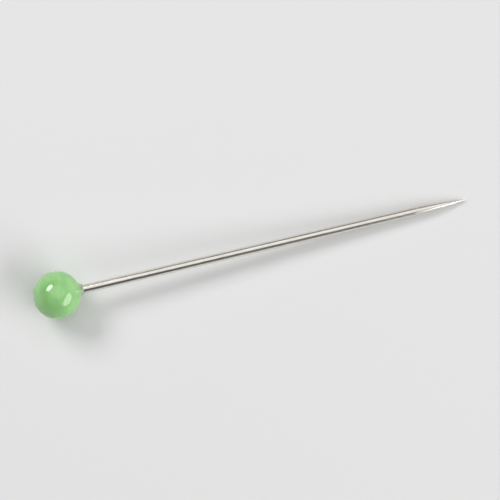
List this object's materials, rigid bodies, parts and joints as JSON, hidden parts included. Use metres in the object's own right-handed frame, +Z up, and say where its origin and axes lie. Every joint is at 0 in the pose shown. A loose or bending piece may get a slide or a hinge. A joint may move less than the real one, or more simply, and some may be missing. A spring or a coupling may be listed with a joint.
{
  "type": "glass-headed straight pin",
  "caption": "Straight sewing pin: a slender polished steel shaft with a long ground point and a light green glass ball fused round its blunt end.",
  "frame": {"origin": "middle of the lying pin's length, on the surface it lies on", "axes": "+X runs from the head towards the point, +Z is up. The shaft slopes down 2.98 degrees towards the point, because the ball and the flank of the point touch the same flat surface."},
  "size_m": [0.03, 0.0032, 0.0032],
  "materials": {
    "steel": "gloss",
    "glass": "gloss"
  },
  "bodies": {
    "root": {"steel_shaft": "steel", "glass_head": "glass"}
  },
  "joints": []
}
